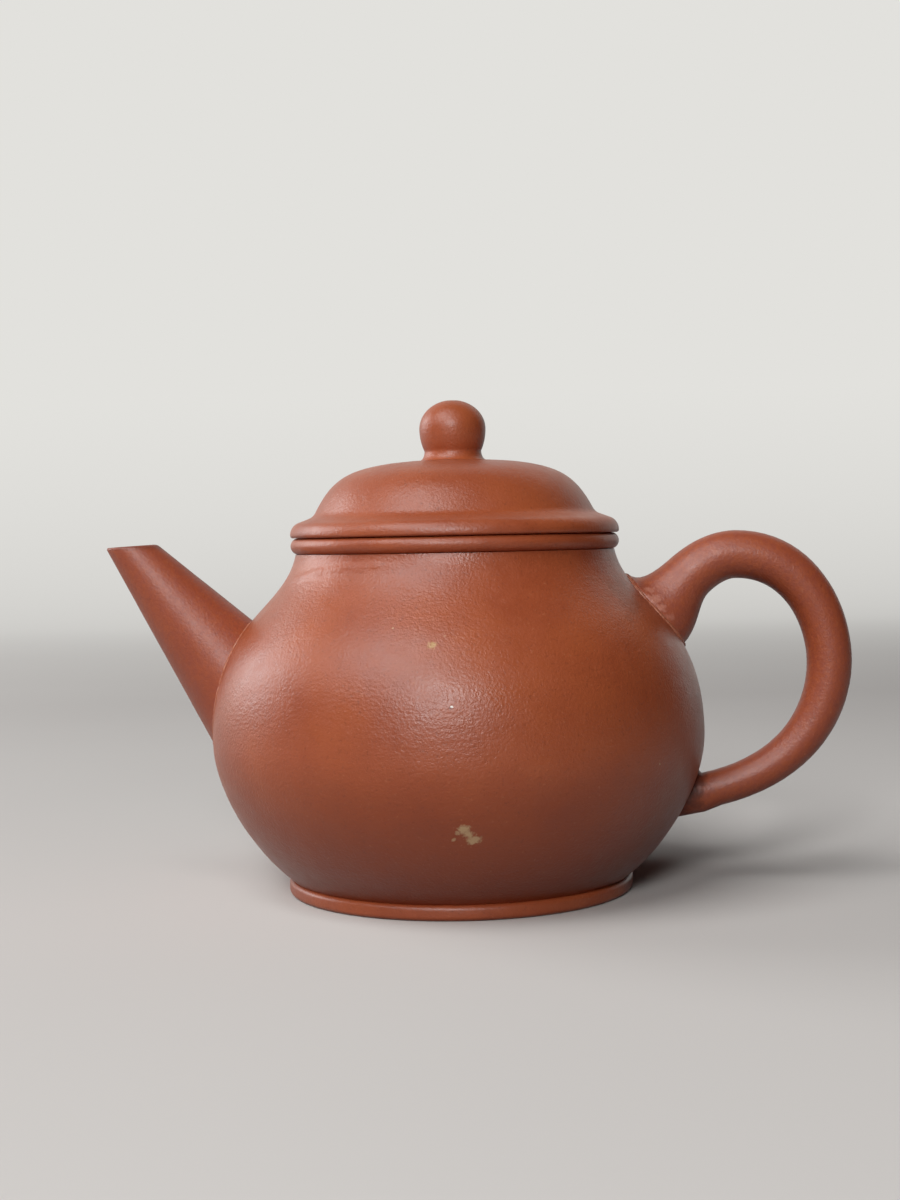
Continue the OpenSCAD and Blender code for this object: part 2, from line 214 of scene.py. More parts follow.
def draw_line(name, points):
    """A plane merged into one point, and that point extruded from point to point (mm)."""
    start_clean()
    points = [Vector(p) * MM for p in points]
    bpy.ops.mesh.primitive_plane_add(size=MM, location=points[0])
    piece = name_piece(name)
    bpy.ops.object.mode_set(mode="EDIT")
    bpy.ops.mesh.select_mode(type="VERT")
    bpy.ops.mesh.select_all(action="SELECT")
    bpy.ops.mesh.merge(type="CENTER")
    for here, there in zip(points, points[1:]):
        bpy.ops.mesh.extrude_region_move(TRANSFORM_OT_translate={"value": there - here})
    bpy.ops.object.mode_set(mode="OBJECT")
    bpy.ops.object.transform_apply(location=True, rotation=True, scale=True)
    return piece


def close_up(merge=0.002):
    """In edit mode: everything is merged where it meets and faces outwards."""
    bpy.ops.mesh.select_all(action="SELECT")
    bpy.ops.mesh.remove_doubles(threshold=merge * MM)
    bpy.ops.mesh.normals_make_consistent(inside=False)


def spin_piece(name, outline, steps, closed=False):
    """An outline of (radius, height) in millimetres spun about the pot's axis."""
    line = [(p[0], 0, p[1]) for p in outline]
    piece = draw_line(name, line + line[:1] if closed else line)
    bpy.ops.object.mode_set(mode="EDIT")
    bpy.ops.mesh.select_all(action="SELECT")
    bpy.ops.mesh.spin(steps=steps, angle=math.tau, center=(0, 0, 0), axis=(0, 0, 1))
    close_up()
    bpy.ops.object.mode_set(mode="OBJECT")
    return piece


def add_modifier(piece, kind, **settings):
    """Adds one modifier, sets it up and applies it."""
    work_on(piece)
    bpy.ops.object.modifier_add(type=kind)
    modifier = piece.modifiers[-1]
    for key, value in settings.items():
        setattr(modifier, key, value)
    bpy.ops.object.modifier_apply(modifier=modifier.name)


def smooth(piece, angle=35):
    """Smooth shading, with edges sharper than the angle left crisp."""
    work_on(piece)
    bpy.ops.object.shade_smooth_by_angle(angle=math.radians(angle))


def triangles(piece):
    """How many triangles a piece's faces come to."""
    return sum(len(p.vertices) - 2 for p in piece.data.polygons)


# %% [markdown]
# ## Marks of the hand
# Clay that was beaten, scraped and rubbed by hand is never quite even. Sculpting would show
# that, but two Displace modifiers with soft noise do it the same way each time: one for the
# wide swells that the beating leaves, and one for the fine drag of the rib. A vertex group
# keeps the relief away from the faces on which pieces sit.

# %% Hand relief
def weigh(piece, group, weight):
    """A vertex group from a function of a point in millimetres."""
    found = piece.vertex_groups.new(name=group)
    for v in piece.data.vertices:
        found.add([v.index], weight(v.co / MM), "REPLACE")


def relief(piece, name, size, depth, group="", long=1.0, middle=0.7):
    """Moves the skin by a depth with soft noise of a size (mm): inwards where the noise is
    under its middle, outwards where it is over. Long noise is drawn out level, as by a rib."""
    noise = bpy.data.textures.new(name, "CLOUDS")
    noise.noise_scale = size * MM
    noise.noise_depth = 2
    noise.noise_basis = "ORIGINAL_PERLIN"
    guide = bpy.data.objects.new("guide", None)
    guide.scale = (long, long, 1)
    bpy.context.scene.collection.objects.link(guide)
    add_modifier(piece, "DISPLACE", texture=noise, texture_coords="OBJECT",
                 texture_coords_object=guide, strength=depth * MM, mid_level=middle,
                 vertex_group=group)
    bpy.data.objects.remove(guide)


def rise(value, low, high):
    """0 below low, 1 above high, and an even change between them."""
    return min(max((value - low) / (high - low), 0.0), 1.0)


# %% [markdown]
# ## The body
# The wall of such a pot is one beaten slab, closed by a base disc and a shoulder disc whose
# joints are rubbed away, so it shows as one skin. It is spun as one piece from the outer
# outline, over the neck and back down the inner one. The mesh is finest outside, where the
# relief shows.

# %% Body
SKIN_GAP, INSIDE_GAP = 0.48, 2.2
BODY_STEPS = 420
inner_outline = [p for p in offset(body_outline, -BODY_WALL) if p.y > BASE_TOP]
body_profile = (
    [Vector((radius, FOOT_CORNER.y)) for radius in (0, 10, 20)]
    + evenly(body_outline, SKIN_GAP)
    + evenly(inner_outline, INSIDE_GAP)[::-1]
    + [Vector((inner_outline[0].x, BASE_TOP))]
    + [Vector((radius, BASE_TOP)) for radius in (22, 16, 8, 0)])
body = spin_piece("beaten_body", body_profile, BODY_STEPS)
print("Body:", triangles(body), "triangles")

# %% [markdown]
# ## The foot ring and the mouth ring
# Both are coils of clay, luted on and turned with a small rib. The foot ring is a flat coil
# with soft edges. The mouth ring has a full round outside and a flat top for the lid.

# %% Foot ring and mouth ring
RING_STEPS = 300
FOOT_IN, FOOT_OUT, FOOT_ROUND = 25.1, 28.9, 0.85
foot_profile = (
    arc((FOOT_OUT - FOOT_ROUND, FOOT_ROUND), FOOT_ROUND, -90, 0)
    + arc((FOOT_OUT - FOOT_ROUND, FOOT_CORNER.y - FOOT_ROUND), FOOT_ROUND, 0, 90)
    + arc((FOOT_IN + FOOT_ROUND, FOOT_CORNER.y - FOOT_ROUND), FOOT_ROUND, 90, 180)
    + arc((FOOT_IN + FOOT_ROUND, FOOT_ROUND), FOOT_ROUND, 180, 270))
foot = spin_piece("foot_coil", foot_profile, RING_STEPS, closed=True)

MOUTH_OUT, MOUTH_BEAD = 27.5, 1.35
MOUTH_BORE, MOUTH_EDGE, BORE_MIDDLE = 23.96, 0.4, 57.6
mouth_profile = (
    [Vector((MOUTH_BORE, NECK_CORNER.y))]
    + arc((MOUTH_OUT - MOUTH_BEAD, NECK_CORNER.y + MOUTH_BEAD), MOUTH_BEAD, -90, 90, 18)
    + arc((MOUTH_BORE + MOUTH_EDGE, MOUTH_TOP - MOUTH_EDGE), MOUTH_EDGE, 90, 180, 5)
    + [Vector((MOUTH_BORE, BORE_MIDDLE))])
mouth = spin_piece("mouth_coil", mouth_profile, RING_STEPS, closed=True)
print("Foot ring", triangles(foot), "and mouth ring", triangles(mouth), "triangles")

# %% [markdown]
# ## A core to cut against
# The spout and the handle are cut to the round of the body before they are luted on. Their
# ends are cut here with a Boolean against a solid core that lies just under the skin.

# %% Core
ROOT_DEPTH = 0.25
CORE_GAP, CORE_STEPS = 0.9, 240
core_outline = offset(body_outline, -ROOT_DEPTH)


def make_core():
    """A solid of the body's shape, a little smaller, for cutting only."""
    skin = evenly(core_outline, CORE_GAP)
    profile = [Vector((0, skin[0].y))] + skin + [Vector((0, skin[-1].y))]
    return spin_piece("core", profile, CORE_STEPS)


def cut_to_body(piece):
    """Takes away what lies inside the core."""
    add_modifier(piece, "BOOLEAN", operation="DIFFERENCE", solver="EXACT", object=core)
    bpy.ops.object.mode_set(mode="EDIT")
    close_up()
    bpy.ops.object.mode_set(mode="OBJECT")


core = make_core()
print("Core:", triangles(core), "triangles")

# %% [markdown]
# ## The spout
# The spout is a slab rolled round a wooden cone, so both its outside and its channel are
# cones. Its tip is cut nearly level, at the height of the mouth, and the cut edge is rubbed
# soft. Two open cones are cut there and bridged, and the lip is bevelled. The long sides are
# divided only after that, so the rings run evenly from the slanted lip to the root.

# %% Spout sizes in millimetres
SPOUT_TIP = Vector((-55.3, 58.45))
SPOUT_HEIGHT = 38.3
SPOUT_ROOT = Vector((-radius_at(body_outline, SPOUT_HEIGHT), SPOUT_HEIGHT))
TIP_OUT, ROOT_OUT = 3.425, 8.55
TIP_IN, ROOT_IN = 2.125, 6.15
SPOUT_SIDES, SPOUT_RINGS = 180, 50
BEFORE_TIP = 7.0
SPOUT_PAST, CHANNEL_PAST = 16, 16.5
LIP_DROP, LIP_ROUND = 0.1, 0.55
LONG_SIDE = 12
TOUCH = 0.01
TIP_CUT = math.radians(3)
LIP_NORMAL = Vector((-math.sin(TIP_CUT), 0, math.cos(TIP_CUT)))
print("Spout:", round((SPOUT_ROOT - SPOUT_TIP).length, 1), "mm from tip to root")


# %% Spout helpers
def upright(p):
    """A point of an outline as a point in the plane of the spout and the handle."""
    return Vector((p[0], 0, p[1]))


def add_cone(tip_r, root_r, into_body, below_lip):
    """An open cone round the spout's centre line, cut at the lip and run into the body."""
    run = (SPOUT_ROOT - SPOUT_TIP).length
    grow = (root_r - tip_r) / run
    line = (SPOUT_ROOT - SPOUT_TIP).normalized()
    start, end = SPOUT_TIP - line * BEFORE_TIP, SPOUT_ROOT + line * into_body
    bpy.ops.mesh.primitive_cone_add(
        vertices=SPOUT_SIDES, radius1=(tip_r - grow * BEFORE_TIP) * MM,
        radius2=(root_r + grow * into_body) * MM, depth=(BEFORE_TIP + run + into_body) * MM,
        end_fill_type="NOTHING", location=upright((start + end) / 2) * MM,
        rotation=upright(line).to_track_quat("Z", "Y").to_euler())
    bpy.ops.object.transform_apply(location=True, rotation=True, scale=True)
    bpy.ops.object.mode_set(mode="EDIT")
    bpy.ops.mesh.select_all(action="SELECT")
    lip = upright(SPOUT_TIP) - LIP_NORMAL * below_lip
    bpy.ops.mesh.bisect(plane_co=lip * MM, plane_no=LIP_NORMAL, clear_outer=True)
    bpy.ops.object.mode_set(mode="OBJECT")
    return bpy.context.object


def select_edges(piece, wanted):
    """In edit mode: selects the edges whose two ends (mm) the function accepts."""
    bpy.ops.mesh.select_mode(type="EDGE")
    bpy.ops.mesh.select_all(action="DESELECT")
    bpy.ops.object.mode_set(mode="OBJECT")
    points = [v.co / MM for v in piece.data.vertices]
    for edge in piece.data.edges:
        edge.select = wanted(points[edge.vertices[0]], points[edge.vertices[1]])
    bpy.ops.object.mode_set(mode="EDIT")


# %% Spout
def make_spout():
    """Two cones bridged at the lip and at the root, rubbed soft and cut to the body."""
    start_clean()
    outer = add_cone(TIP_OUT, ROOT_OUT, SPOUT_PAST, 0)
    add_cone(TIP_IN, ROOT_IN, CHANNEL_PAST, LIP_DROP)
    outer.select_set(True)
    bpy.ops.object.join()
    spout = name_piece("rolled_spout")
    line = upright(SPOUT_ROOT - SPOUT_TIP).normalized()
    root_end = upright(SPOUT_ROOT).dot(line) + SPOUT_PAST
    lip_end = upright(SPOUT_TIP).dot(LIP_NORMAL) - LIP_DROP

    def on_lip(a, b):
        return min(a.dot(LIP_NORMAL), b.dot(LIP_NORMAL)) > lip_end - TOUCH

    bpy.ops.object.mode_set(mode="EDIT")
    select_edges(spout, on_lip)
    bpy.ops.mesh.bridge_edge_loops()
    select_edges(spout, lambda a, b: min(a.dot(line), b.dot(line)) > root_end - TOUCH)
    bpy.ops.mesh.bridge_edge_loops()
    close_up()
    select_edges(spout, on_lip)
    bpy.ops.mesh.region_to_loop()
    bpy.ops.mesh.bevel(offset=LIP_ROUND * MM, segments=5, affect="EDGES")
    select_edges(spout, lambda a, b: (a - b).length > LONG_SIDE)
    bpy.ops.mesh.subdivide(number_cuts=SPOUT_RINGS)
    close_up()
    bpy.ops.object.mode_set(mode="OBJECT")
    cut_to_body(spout)
    return spout


spout = make_spout()
print("Spout:", triangles(spout), "triangles")

# %% [markdown]
# ## The handle
# The handle is a tapered roll of clay, bent round a finger and luted on at both ends, where
# it spreads over the body. A Bézier curve with a round bevel gives the roll, because each of
# its points has a thickness of its own. Turned into a mesh, each end ring is then widened
# and tilted to the body with proportional editing, so the clay near it follows.

# %% Handle sizes in millimetres
UPPER_HEIGHT, LOWER_HEIGHT = 45.7, 15.1
UPPER_ROOT = Vector((radius_at(body_outline, UPPER_HEIGHT), UPPER_HEIGHT))
LOWER_ROOT = Vector((radius_at(body_outline, LOWER_HEIGHT), LOWER_HEIGHT))
UPPER_RISE, LOWER_RISE = 57, 7
CROWN = Vector((46.8, 55.1))
OUTER_SIDE = Vector((62.2, 37.1))
ROLL_RINGS, ROLL_ROUNDNESS = 22, 14
END_REACH, END_TOUCH = 7, 0.02
handle_stations = [  # place, pull back, pull on, radius
    (UPPER_ROOT, -ray(3, UPPER_RISE), ray(5, UPPER_RISE), 4.5),
    (CROWN, Vector((-5.3, 0)), Vector((10.3, 0)), 4.025),
    (OUTER_SIDE, Vector((0, 8.2)), Vector((0, -7.3)), 3.725),
    (LOWER_ROOT, ray(19.6, LOWER_RISE), -ray(3, LOWER_RISE), 3.0)]
print("Handle:", len(handle_stations), "stations from the upper root to the lower one")


# %% Handle
def roll_clay(name, stations):
    """A tapered roll along a Bézier curve, as an open mesh tube."""
    start_clean()
    bpy.ops.curve.primitive_bezier_curve_add()
    roll = bpy.context.object
    points = roll.data.splines[0].bezier_points
    points.add(len(stations) - 2)
    for point, (place, back, on, radius) in zip(points, stations):
        point.handle_left_type = point.handle_right_type = "FREE"
        point.co = upright(place) * MM
        point.handle_left = upright(place + back) * MM
        point.handle_right = upright(place + on) * MM
        point.radius = radius
    roll.data.splines[0].radius_interpolation = "EASE"
    roll.data.resolution_u = ROLL_RINGS
    roll.data.bevel_depth = MM
    roll.data.bevel_resolution = ROLL_ROUNDNESS
    roll.data.use_fill_caps = False
    bpy.ops.object.convert(target="MESH")
    bpy.ops.object.transform_apply(location=True, rotation=True, scale=True)
    return name_piece(name)


def fit_end(piece, place, rise_angle, lean, lift, grow_up, grow_side, run, past):
    """Widens, tilts and lifts an end ring, with the clay within a run of it, and then
    takes the ring past its place into the body and closes it."""
    work_on(piece)
    bpy.ops.object.mode_set(mode="EDIT")
    out = upright(ray(1, rise_angle))
    across = upright(ray(1, rise_angle + 90))
    centre = upright(place)

    def on_end(a, b):
        return all(abs((p - centre).dot(out)) < END_TOUCH and (p - centre).length <= END_REACH
                   for p in (a, b))

    select_edges(piece, on_end)
    follow = {"use_proportional_edit": True, "proportional_edit_falloff": "SHARP",
              "proportional_size": run * MM}
    bpy.ops.transform.resize(
        value=(grow_up, grow_side, 1), orient_type="GLOBAL",
        orient_matrix=(across, out.cross(across), out), orient_matrix_type="GLOBAL",
        center_override=centre * MM, **follow)
    bpy.ops.transform.rotate(value=math.radians(lean), orient_axis="Y",
                             center_override=centre * MM, **follow)
    bpy.ops.transform.translate(value=across * lift * MM, **follow)
    bpy.ops.mesh.extrude_region_move(TRANSFORM_OT_translate={"value": -out * past * MM})
    bpy.ops.mesh.edge_face_add()
    bpy.ops.object.mode_set(mode="OBJECT")


handle = roll_clay("ring_handle", handle_stations)
fit_end(handle, UPPER_ROOT, UPPER_RISE, lean=-20, lift=0.9, grow_up=1.68, grow_side=1.3,
        run=7.4, past=6)
fit_end(handle, LOWER_ROOT, LOWER_RISE, lean=-33, lift=0, grow_up=1.47, grow_side=1.12,
        run=5, past=4)
work_on(handle)
bpy.ops.object.mode_set(mode="EDIT")
close_up()
bpy.ops.object.mode_set(mode="OBJECT")
cut_to_body(handle)
print("Handle:", triangles(handle), "triangles")

# %% [markdown]
# ## The slip at the roots
# Spout and handle are stuck on with slip, which is clay as thin as cream. What is squeezed
# out dries as a fine, uneven line along the joint. Each line is taken from the cut end
# itself: the loop round the cut face is copied, made a curve with a round bevel and made a
# mesh again, so it lies exactly in the joint. Half of it is sunk in the clay.

# %% Slip lines
ON_CORE = 0.03
SLIP_GAP = 0.35
SLIP_THIN, SLIP_THICK = 0.85, 1.15
SLIP_LUMP = 1.2


def lay_slip(name, piece, near, reach, width, seed):
    """A line of slip round the cut face whose middle is within a reach of a point (mm)."""
    work_on(piece)
    bpy.ops.object.mode_set(mode="EDIT")
    bpy.ops.mesh.select_mode(type="FACE")
    bpy.ops.mesh.select_all(action="DESELECT")
    bpy.ops.object.mode_set(mode="OBJECT")
    for face in piece.data.polygons:
        corners = [piece.data.vertices[i].co / MM for i in face.vertices]
        face.select = (face.center / MM - near).length < reach and all(
            abs(math.hypot(c.x, c.y) - radius_at(core_outline, c.z)) < ON_CORE
            for c in corners)
    bpy.ops.object.mode_set(mode="EDIT")
    bpy.ops.mesh.region_to_loop()
    bpy.ops.mesh.duplicate()
    bpy.ops.mesh.separate(type="SELECTED")
    bpy.ops.object.mode_set(mode="OBJECT")
    slip = [o for o in bpy.context.selected_objects if o != piece][0]
    work_on(slip)
    bpy.ops.object.mode_set(mode="EDIT")
    bpy.ops.mesh.select_all(action="SELECT")
    bpy.ops.mesh.remove_doubles(threshold=SLIP_GAP * MM)
    bpy.ops.mesh.vertices_smooth(factor=0.5, repeat=2)
    bpy.ops.object.mode_set(mode="OBJECT")
    bpy.ops.object.convert(target="CURVE")
    chance = random.Random(seed)
    for line in slip.data.splines:
        for point in line.points:
            point.radius = chance.uniform(SLIP_THIN, SLIP_THICK)
    slip.data.bevel_depth = width / 2 * MM
    slip.data.bevel_resolution = 3
    bpy.ops.object.convert(target="MESH")
    slip = name_piece(name)
    bpy.ops.object.mode_set(mode="EDIT")
    close_up(0.01)
    bpy.ops.object.mode_set(mode="OBJECT")
    relief(slip, name + "_lumps", SLIP_LUMP, width / 4, middle=0.5)
    return slip


spout_slip = lay_slip("spout_slip", spout, upright(SPOUT_ROOT), reach=14, width=0.7, seed=11)
upper_slip = lay_slip("upper_root_slip", handle, upright(UPPER_ROOT), reach=11, width=1.1,
                      seed=12)
lower_slip = lay_slip("lower_root_slip", handle, upright(LOWER_ROOT), reach=8, width=0.7,
                      seed=13)
print("Slip:", triangles(spout_slip), triangles(upper_slip), triangles(lower_slip), "triangles")

# %% [markdown]
# ## The lid
# The lid is a beaten dome on a rim, with a collar under it that keeps it in the mouth. All
# three are one skin of clay on the real pot, so they are spun as one closed outline: over
# the dome, down the rim, round the collar and back under the dome to the vent.

# %% Lid sizes in millimetres
VENT, VENT_EDGE, VENT_CLEAR = 1.0, 0.35, 0.3
LID_WALL = 2.4
COLLAR_OUT, COLLAR_IN, COLLAR_LOW = 23.66, 21.36, 51.2
COLLAR_FILLET, COLLAR_EDGE, COLLAR_START = 0.35, 0.6, 0.8
RIM_ROUND, RIM_EDGE, RIM_SLOPE = 2.1, 0.45, 20.5
FILLET_HIGH, FILLET_OUT = 0.7, 24.3
SLOPE_RINGS, SEAT_RING = (24.9, 25.5), 25.4
DOME_GAP, COLLAR_GAP, LID_INSIDE_GAP = 0.5, 1, 1.1
LID_STEPS = 320


def fillet(start, corner, end, steps=8):
    """A soft corner between two points."""
    return [start.lerp(corner, i / steps).lerp(corner.lerp(end, i / steps), i / steps)
            for i in range(steps + 1)]


def on_slope(radius):
    """The point of the rim's sloping top at a radius."""
    fall = math.tan(math.radians(RIM_SLOPE)) * (radius - DOME_FOOT.x)
    return Vector((radius, RIM_TOP - fall))


round_r = MOUTH_OUT - RIM_ROUND
round_z = on_slope(round_r).y - RIM_ROUND / math.cos(math.radians(RIM_SLOPE))
print("Lid: its rim turns over at radius", round(round_r, 2), "height", round(round_z, 2), "mm")

# %% Lid
dome_side = [p for p in dome_outline
             if p.y > RIM_TOP + FILLET_HIGH and p.x > VENT + VENT_CLEAR][::-1]
dome_inside = [p for p in offset(dome_outline, -LID_WALL) if p.y > RIM_TOP and p.x > VENT]
lid_top = (
    [Vector((VENT, DOME_TOP - VENT_EDGE))]
    + evenly(dome_side, DOME_GAP)
    + fillet(dome_side[-1], DOME_FOOT, on_slope(FILLET_OUT))[1:]
    + [on_slope(radius) for radius in SLOPE_RINGS]
    + arc((round_r, round_z), RIM_ROUND, 90 - RIM_SLOPE, 0, 12)
    + arc((MOUTH_OUT - RIM_EDGE, MOUTH_TOP + RIM_EDGE), RIM_EDGE, 0, -90, 5))
lid_seat = (
    [Vector((SEAT_RING, MOUTH_TOP)), Vector((COLLAR_OUT + COLLAR_FILLET, MOUTH_TOP))]
    + arc((COLLAR_OUT + COLLAR_FILLET, MOUTH_TOP - COLLAR_FILLET), COLLAR_FILLET, 90, 180, 4))
lid_collar = (
    evenly([Vector((COLLAR_OUT, MOUTH_TOP - COLLAR_START)),
            Vector((COLLAR_OUT, COLLAR_LOW + 2 * COLLAR_EDGE))], COLLAR_GAP)
    + arc((COLLAR_OUT - COLLAR_EDGE, COLLAR_LOW + COLLAR_EDGE), COLLAR_EDGE, 0, -90, 5)
    + arc((COLLAR_IN + COLLAR_EDGE, COLLAR_LOW + COLLAR_EDGE), COLLAR_EDGE, -90, -180, 5)
    + evenly([Vector((COLLAR_IN, COLLAR_LOW + 2 * COLLAR_EDGE)),
              Vector((COLLAR_IN, RIM_TOP - 1))], COLLAR_GAP))
lid_profile = lid_top + lid_seat + lid_collar + evenly(dome_inside, LID_INSIDE_GAP)
lid = spin_piece("domed_lid", lid_profile, LID_STEPS, closed=True)
print("Lid:", triangles(lid), "triangles")

# %% [markdown]
# ## The knob
# The knob is a ball of clay on a short seat that spreads over the dome. It is drawn as two
# half rounds over a hollow curve, with the vent through its middle, and spun. Its foot is
# sunk a little into the dome, and the edge of the vent is softened.

# %% Knob
KNOB_R, KNOB_Z, KNOB_UP, KNOB_DOWN, KNOB_FOOT = 5.55, 77.0, 4.8, 3.7, 4.75
SEAT_TOP, SEAT_OUT, SEAT_SPREAD = 73.3, 5.85, 0.75
SUNK, EDGE_SUNK, EDGE_IN = 0.3, 0.15, 0.6
KNOB_STEPS = 128


def dome_height(radius):
    """The height of the dome's outside at a radius."""
    return min(dome_outline, key=lambda p: abs(p.x - radius)).y


foot_angle = math.acos(KNOB_FOOT / KNOB_R)
low_r = KNOB_DOWN / math.sin(foot_angle)
seat_foot = Vector((SEAT_OUT, dome_height(SEAT_OUT)))
seat_side = bezier(seat_foot, seat_foot - Vector((SEAT_SPREAD, 0)),
                   (KNOB_FOOT, (seat_foot.y + SEAT_TOP) / 2), (KNOB_FOOT, SEAT_TOP), 10)
ball_low = [Vector((KNOB_R * math.cos(a), KNOB_Z + low_r * math.sin(a)))
            for a in [foot_angle * (i / 12 - 1) for i in range(13)]]
ball_high = [Vector((KNOB_R * math.cos(a), KNOB_Z + KNOB_UP * math.sin(a)))
             for a in [math.radians(90 * i / 22) for i in range(1, 23)]]
ball_high = [p for p in ball_high if p.x > VENT + 0.1]
sunk_foot = [Vector((VENT, dome_height(VENT) - SUNK)),
             Vector((SEAT_OUT - EDGE_IN, seat_foot.y - EDGE_SUNK))]
vent_side = [Vector((VENT + 0.04, KNOB_Z + KNOB_UP - 0.17)),
             Vector((VENT, KNOB_Z + KNOB_UP - 0.4)), Vector((VENT, KNOB_Z))]
knob_profile = sunk_foot + seat_side + ball_low + ball_high + vent_side
knob = spin_piece("ball_knob", knob_profile, KNOB_STEPS, closed=True)
print("Knob:", triangles(knob), "triangles")

# %% [markdown]
# ## The hole behind the spout
# The potter cuts a hole in the wall before the spout goes on. A Boolean with a cylinder on
# the spout's centre line is the same cut.

# %% Drill the wall
DRILL_R, DRILL_LONG = 5.75, 15.4


def drill_wall():
    """Takes a round hole out of the body's wall on the spout's centre line."""
    start_clean()
    line = (SPOUT_ROOT - SPOUT_TIP).normalized()
    bpy.ops.mesh.primitive_cylinder_add(
        vertices=96, radius=DRILL_R * MM, depth=DRILL_LONG * MM,
        location=upright(SPOUT_ROOT) * MM,
        rotation=upright(line).to_track_quat("Z", "Y").to_euler())
    drill = name_piece("drill")
    add_modifier(body, "BOOLEAN", operation="DIFFERENCE", solver="EXACT", object=drill)
    bpy.data.objects.remove(drill)


drill_wall()
bpy.data.objects.remove(core)
print("Drilled:", triangles(body), "triangles")

# %% [markdown]
# ## Relief and shading
# The body, lid, rings, spout and handle get their swells now, and the body and the lid also
# get fine wrinkles, as from a rib. The faces on which pieces sit are left as they are. A low
# ridge of slip runs round the front of the neck, where the mouth ring was luted on and the
# rib didn't reach. Each vertex group comes from a function that weighs a point by its place.

# %% Relief on the body
SKIN_DEEP, SKIN_FULL = 1.6, 2.2
SKIN_LOW, SKIN_LOW_FULL = 2.6, 5
SKIN_TOP, SKIN_TOP_FADE = 56.4, 1.5


def skin_only(p):
    """1 on the body's outer skin, fading to 0 inside, at the foot and at the mouth ring."""
    above_inside = math.hypot(p.x, p.y) - radius_at(body_outline, p.z) + BODY_WALL
    outside = rise(above_inside, SKIN_DEEP, SKIN_FULL)
    above_foot = rise(p.z, SKIN_LOW, SKIN_LOW_FULL)
    return outside * above_foot * rise(SKIN_TOP - p.z, 0, SKIN_TOP_FADE)


RIDGE = [(-161, 52.3), (-148, 53.15), (-140, 53.9), (-128, 54.4), (-112, 54.7), (-96, 54.9)]
RIDGE_FULL_FROM, RIDGE_FULL_TO = -152, -130
RIDGE_HALF = 0.65
NECK_LOW, NECK_SKIN = 51, 24.5


def on_ridge(p):
    """1 along the slip ridge on the neck, which is named by azimuth and height."""
    if p.z < NECK_LOW or math.hypot(p.x, p.y) < NECK_SKIN:
        return 0.0
    azimuth = math.degrees(math.atan2(p.y, p.x))
    for (a, low), (b, high) in zip(RIDGE, RIDGE[1:]):
        if a <= azimuth < b:
            height = low + (high - low) * (azimuth - a) / (b - a)
            along = (rise(azimuth, RIDGE[0][0], RIDGE_FULL_FROM)
                     * rise(-azimuth, -RIDGE[-1][0], -RIDGE_FULL_TO))
            return along * max(0.0, 1 - ((p.z - height) / RIDGE_HALF) ** 2)
    return 0.0


weigh(body, "skin", skin_only)
weigh(body, "ridge", on_ridge)
relief(body, "beating", 13, 0.2, "skin")
relief(body, "wrinkles", 1.3, 0.045, "skin", long=3)
relief(body, "slip_ridge", 1.3, 0.6, "ridge", long=1.4, middle=0.15)
print("Body:", [group.name for group in body.vertex_groups], "relief")


# %% Relief on the other pieces
LID_SKIN_LOW, LID_SKIN_FULL = MOUTH_TOP + 0.5, MOUTH_TOP + 1.5
VENT_SKIN, VENT_SKIN_FULL = 1.2, 3
RING_FADE, RING_FULL = 0.2, 0.8
RING_SIDE, RING_SIDE_FULL = 26, 26.8


def lid_skin(p):
    """1 on the lid's upper side, and 0 at the vent and from its underside down."""
    beside_vent = rise(math.hypot(p.x, p.y), VENT_SKIN, VENT_SKIN_FULL)
    return rise(p.z, LID_SKIN_LOW, LID_SKIN_FULL) * beside_vent


def ring_side(p):
    """1 on the outer side of the two rings and 0 on the faces on which pieces sit."""
    low, high = (0, FOOT_CORNER.y) if p.z < BELLY.y else (NECK_CORNER.y, MOUTH_TOP)
    between = rise(p.z, low + RING_FADE, low + RING_FULL) * rise(high - p.z, RING_FADE, RING_FULL)
    return between * rise(math.hypot(p.x, p.y), RING_SIDE, RING_SIDE_FULL)


weigh(lid, "skin", lid_skin)
relief(lid, "lid_beating", 9, 0.12, "skin")
relief(lid, "lid_wrinkles", 1.2, 0.03, "skin", long=2)
for piece in (spout, handle):
    relief(piece, piece.name + "_rolling", 6, 0.09)
for piece in (foot, mouth):
    weigh(piece, "side", ring_side)
    relief(piece, piece.name + "_wobble", 6, 0.22, "side")

for piece in (body, foot, mouth, spout, handle, spout_slip, upper_slip, lower_slip, lid, knob):
    smooth(piece)
print("Relief added")

# %% [markdown]
# ## Mixing a finish
# A material is a tree of nodes. Linking each node by hand makes long scripts, so a small
# class adds a node with its settings and inputs in one line. All patterns read Object
# coordinates, stretched to millimetres, so they stay on the piece when it moves.

# %% Node recipes
def srgb(r, g, b):
    """A colour written in 0 to 255 as the linear colour that a shader takes."""
    def linear(v):
        v /= 255
        return v / 12.92 if v <= 0.04045 else ((v + 0.055) / 1.055) ** 2.4
    return (linear(r), linear(g), linear(b), 1.0)


